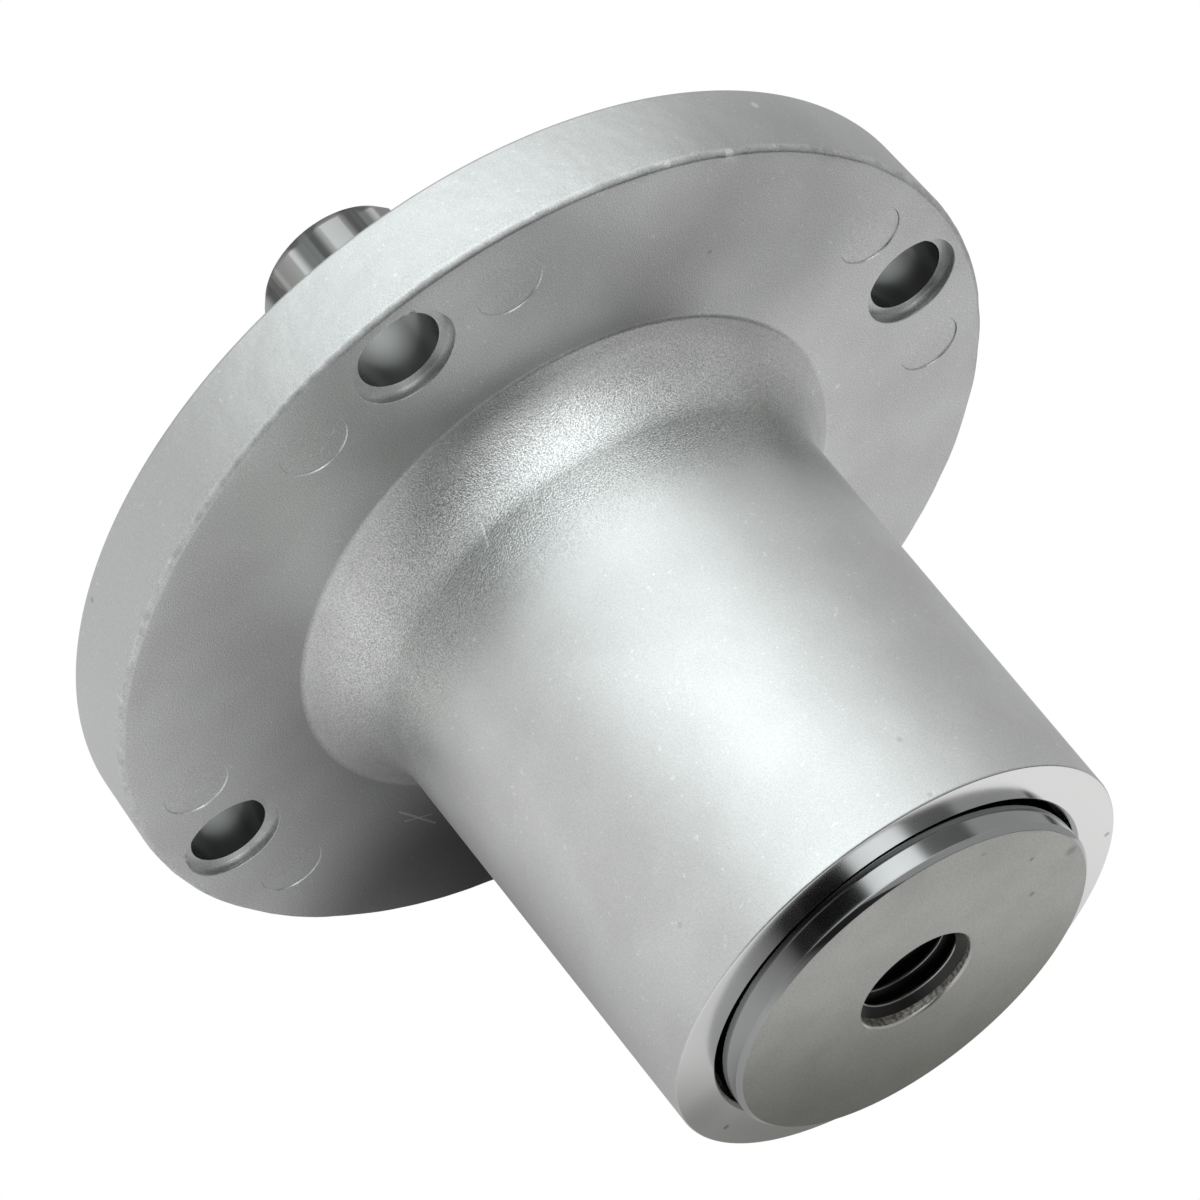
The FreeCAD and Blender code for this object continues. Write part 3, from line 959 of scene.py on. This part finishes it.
# Painted shade darkens one side of the barrel's end.
to_shaded_side = machined.vector("DOT_PRODUCT", machined.place, direction(end_shade_azimuth, 0))
at_end = machined.ramp(machined.axis_values()[1], *end_heights, 1, 0)
end_shade = machined.math("MULTIPLY", machined.ramp(to_shaded_side, *end_shade_from), at_end)
end_metal = machined.colours(end_shade, machined_bright, machined_shade_grey)
machined.tint(end_metal, spots(machined, 1.0, end_marks))
print("marks on the barrel's end:", len(end_marks))

# %% [markdown]
# ### Drilled walls
# The walls of the bolt holes are painted dark as the shade inside them, darkest near the recess, and
# the hole at +X is painted lighter than the others. Metallic stays below 1, so that part of the wall is
# diffuse. Two ramps are enough here, one along the hole and one from hole to hole.

# %% Finish of the bolt holes' walls
drilled_shaded_grey = (0.3, 0.305, 0.3)
drilled_rough = 0.2
drilled_metallic = 0.6
wall_shade_heights = (-9 * mm, -3.5 * mm)
wall_shade_shares = (0.4, 1.1)
lit_hole_from = (20 * mm, 50 * mm)
shaded_holes_share = 0.65

drilled = Finish("drilled_wall", drilled_shaded_grey, drilled_rough, metallic=drilled_metallic)
drilled_at = drilled.add("SeparateXYZ", drilled.place)
# Painted shade: the walls darken towards the recess, and the holes away from +X are darker still.
wall_shade = drilled.ramp(drilled_at.outputs["Z"], *wall_shade_heights, *wall_shade_shares)
hole_shade = drilled.ramp(drilled_at.outputs["X"], *lit_hole_from, shaded_holes_share, 1.0)
drilled.tint(drilled_shaded_grey, drilled.math("MULTIPLY", wall_shade, hole_shade))
print("wall shade from", wall_shade_shares[0], "to", wall_shade_shares[1])

# %% [markdown]
# A piece may have several finishes, and each of its faces has one of them. The faces are chosen by where
# their centres lie. Faces that are chosen by hand would have to be chosen again after each change of a
# size.

# %% Helpers that give finishes to a piece and to its faces
def dress(piece, *finishes):
    """Gives the piece its finishes. The first one covers it all until faces are given another."""
    piece.data.materials.clear()
    for finish in finishes:
        piece.data.materials.append(finish.material)


def give_faces(piece, slot_number, wanted):
    """Gives a finish to the faces whose centre, and its distance from the axis, is wanted."""
    count = 0
    for face in piece.data.polygons:
        centre = face.center / mm
        if wanted(centre, math.hypot(centre.x, centre.y)):
            face.material_index = slot_number
            count += 1
    print(piece.data.materials[slot_number].name, "faces:", count)


print("helpers for faces ready")

# %% [markdown]
# On the casting, the lathe's tool reached the barrel's end, the bore and the deck face, and the drill
# reached the walls of the bolt holes. All else keeps the blasted skin.

# %% Faces of the housing that are turned or drilled
end_slack = 0.06
bore_slack = 0.02
deck_slack = 0.04
wall_slack = 0.1
wall_top = -0.2
dress(housing, cast, machined, drilled)


def turned_faces(centre, across):
    at_barrel_end = centre.z < barrel_end + end_slack
    in_bore = across < head_bore + lead_in + bore_slack
    return at_barrel_end or in_bore or centre.z > -deck_slack


def hole_walls(centre, across):
    from_hole = min(math.dist(centre[:2], spot) for spot in hole_spots)
    between = recess_depth - flange_thickness < centre.z < wall_top
    return from_hole < bolt_hole + wall_slack and between


hole_angles = [math.radians(turn) for turn in hole_turns]
hole_spots = [(bolt_circle * math.cos(angle), bolt_circle * math.sin(angle)) for angle in hole_angles]
give_faces(housing, 1, turned_faces)
give_faces(housing, 2, hole_walls)

# %% [markdown]
# ### The head of the shaft
# The head's face was ground flat and is an even grey, darkened towards one side by painted shade. It has
# a fine grain, a few specks and a little dirt along its edge. The colour carries all of that, because the
# face is too matt for a bump to show.

# %% Finishes of the turned steel and of the head's ground face
steel_grey = (0.56, 0.56, 0.55)
steel_rough = 0.24
ground_grey = (0.52, 0.52, 0.5)
ground_shade_grey = (0.24, 0.24, 0.215)
ground_rough = 0.42
face_shade_azimuth = -140
face_shade_from = (-12 * mm, 22 * mm)
face_grain_scale = 4500
face_grain_shades = (0.9, 1.1)
face_cloud_scale = 150
face_cloud_shades = (0.94, 1.06)
face_dirt = {
    "smear at the edge": ((1.2, 24.0, -88.5), 0.3, 1.3, 0.7),
    "speck inside it": ((6.6, 19.5, -88.5), 0.1, 0.5, 0.55),
    "speck further in": ((-1.4, 17.2, -88.5), 0.1, 0.6, 0.6),
    "speck towards the hole": ((16.3, 15.2, -88.5), 0.1, 0.4, 0.7),
}
edge_lines = {"dirt along the edge": ((17.5, 19.0, -88.5), (11.0, 22.2, -88.5), 0.12, 0.85)}

steel = Finish("turned_steel", steel_grey, steel_rough)
ground = Finish("ground_face", ground_grey, ground_rough)
# Painted shade darkens the head's face towards one side.
to_face_shade = ground.vector("DOT_PRODUCT", ground.place, direction(face_shade_azimuth, 0))
face_colour = ground.colours(ground.ramp(to_face_shade, *face_shade_from), ground_grey, ground_shade_grey)
face_grain = ground.noise(face_grain_scale, 1)
face_grain = ground.ramp(face_grain, *noise_wide, *face_grain_shades, smooth=False)
face_cloud = ground.noise(face_cloud_scale, 3)
face_cloud = ground.ramp(face_cloud, *noise_wide, *face_cloud_shades, smooth=False)
face_shade = spots(ground, ground.math("MULTIPLY", face_grain, face_cloud), face_dirt)
ground.tint(face_colour, lines(ground, face_shade, edge_lines))
print("specks on the head:", len(face_dirt))

# %% [markdown]
# The head's side was turned smooth. It mirrors the strip lamp between its two dark flags as bands of
# light and shade, so it needs hardly more than a low roughness. One soft spot of painted reflection, dark
# like the flags, darkens it further.

# %% Finish of the head's polished side
side_grey = (0.43, 0.44, 0.44)
side_reflection_dark = (0.22, 0.22, 0.22)
side_rough = 0.08
side_reflection_azimuth = -12
side_reflection_height = 4
side_reflection_reach = (4 * mm, 13 * mm)

polished = Finish("polished_side", side_grey, side_rough)
# A painted dark reflection darkens one soft spot of the side.
reflection_middle = direction(side_reflection_azimuth, 0) * head_radius * mm
reflection_middle += Vector((0, 0, (head_face + side_reflection_height) * mm))
reflection_near = polished.ramp(polished.vector("DISTANCE", polished.place, reflection_middle), *side_reflection_reach, 1, 0)
polished.set("Base Color", polished.colours(reflection_near, side_grey, side_reflection_dark))
print("painted reflection on the head's side at", side_reflection_azimuth, "degrees")

# %% [markdown]
# ### Thread and mouth
# The blade's thread is painted dark as the shade inside its hole, with a painted highlight along its
# crests, so its colour goes by the distance from the axis. The pulley's thread is narrower than those
# crests, so the same finish gives it the highlight's grey all over. In front of the blade's thread the
# tool left a rough, chattered mouth.

# %% Finishes of the tapped threads and the rough mouth
painted_thread_shade = (0.05, 0.05, 0.048)
painted_crest_highlight = (0.6, 0.6, 0.58)
thread_rough = 0.3
crest_radius = blade_hole - thread_height * blade_pitch
crest_highlight_reach = (0.05, 0.15)
mouth_dark = (0.32, 0.3, 0.27)
mouth_bright = (0.75, 0.72, 0.67)
mouth_dullness = 0.5
chatter_scale = 1800
chatter_depth = 0.1 * mm

tapped = Finish("tapped_thread", painted_thread_shade, thread_rough)
# Painted shade darkens the thread, and a painted highlight lightens its crests.
highlight_radii = [(crest_radius + wear) * mm for wear in crest_highlight_reach]
crest_highlight_mask = tapped.ramp(tapped.axis_values()[0], *highlight_radii, 1, 0)
tapped.set("Base Color", tapped.colours(crest_highlight_mask, painted_thread_shade, painted_crest_highlight))
mouth = Finish("rough_mouth", mouth_bright, mouth_dullness)
chatter = mouth.noise(chatter_scale, 3)
chatter_colour = mouth.colours(mouth.ramp(chatter, *noise_narrow), mouth_dark, mouth_bright)
mouth.set("Base Color", chatter_colour)
mouth.set("Normal", mouth.bump(chatter, chatter_depth))
print("crest radius of the blade's thread:", round(crest_radius, 2))

# %% [markdown]
# ### The splined end
# The grooves are painted dark as the shade in them, and the teeth between them keep a lighter grey. Here
# too the distance from the axis says where a point lies, so no second material and no edge between the
# two is needed.

# %% Finish of the splined end
painted_groove_shade = (0.14, 0.145, 0.14)
tooth_light = (0.42, 0.42, 0.41)
splined_rough = 0.18
above_floor = 0.3
below_tip = 0.1

groove_floor = spline_radius - spline_depth
splined = Finish("splined_end", tooth_light, splined_rough)
# Painted shade darkens the grooves.
tooth_radii = ((groove_floor + above_floor) * mm, (spline_radius - below_tip) * mm)
on_tooth = splined.ramp(splined.axis_values()[0], *tooth_radii)
splined.set("Base Color", splined.colours(on_tooth, painted_groove_shade, tooth_light))
print("groove floor:", round(groove_floor, 2), "tip of the teeth:", spline_radius)

# %% [markdown]
# The faces of the shaft are chosen like those of the housing. The order matters: the rough mouth is part
# of the wall of the blade's hole, so it is given its own finish after that wall.

# %% Faces of the shaft that are ground, polished, tapped or splined
head_from = 20
face_slack = 0.02
mouth_top = head_face + rough_mouth
holes_to = shaft_top - 1
dress(shaft, steel, ground, polished, tapped, mouth, splined)
dress(blade_thread, tapped)
dress(pulley_thread, tapped)
give_faces(shaft, 1, lambda centre, across: centre.z < head_face + face_slack)
give_faces(shaft, 2, lambda centre, across: across > head_from and centre.z > head_face + face_slack)
give_faces(shaft, 3, lambda centre, across: across < blade_hole and centre.z < holes_to)
give_faces(shaft, 4, lambda centre, across: across < blade_hole + face_slack and centre.z < mouth_top)
give_faces(shaft, 5, lambda centre, across: across > end_wall_from and centre.z > journal_top)

# %% [markdown]
# ### Bearings, cages and seals
# These pieces sit inside the bore or under the shield, so they keep the meshes of their CAD solids. They
# are dressed by the slot that the record gives them: ground and polished rings and balls, pressed cages
# and shield, a turned spacer and matt rubber seals.

# %% Finishes of the hidden pieces
own_mesh = ("housing", "spindle_shaft")
bearing_grey = (0.66, 0.66, 0.66)
bearing_rough = 0.12
pressed_grey = (0.6, 0.59, 0.56)
pressed_rough = 0.28
rubber_black = (0.03, 0.03, 0.032)
rubber_rough = 0.55
bearing = Finish("bearing_steel", bearing_grey, bearing_rough)
pressed = Finish("pressed_steel", pressed_grey, pressed_rough)
rubber = Finish("seal_rubber", rubber_black, rubber_rough, metallic=0.0)
slot_finish = {
    "turned_steel": steel,
    "bearing_steel": bearing,
    "pressed_steel": pressed,
    "seal_rubber": rubber,
}
for part in frame["record"]["subparts"]:
    if part["node"] not in own_mesh:
        dress(nodes[part["node"]], slot_finish[part["material_slot"]])
print("dressed nodes:", len(nodes) - len(own_mesh))
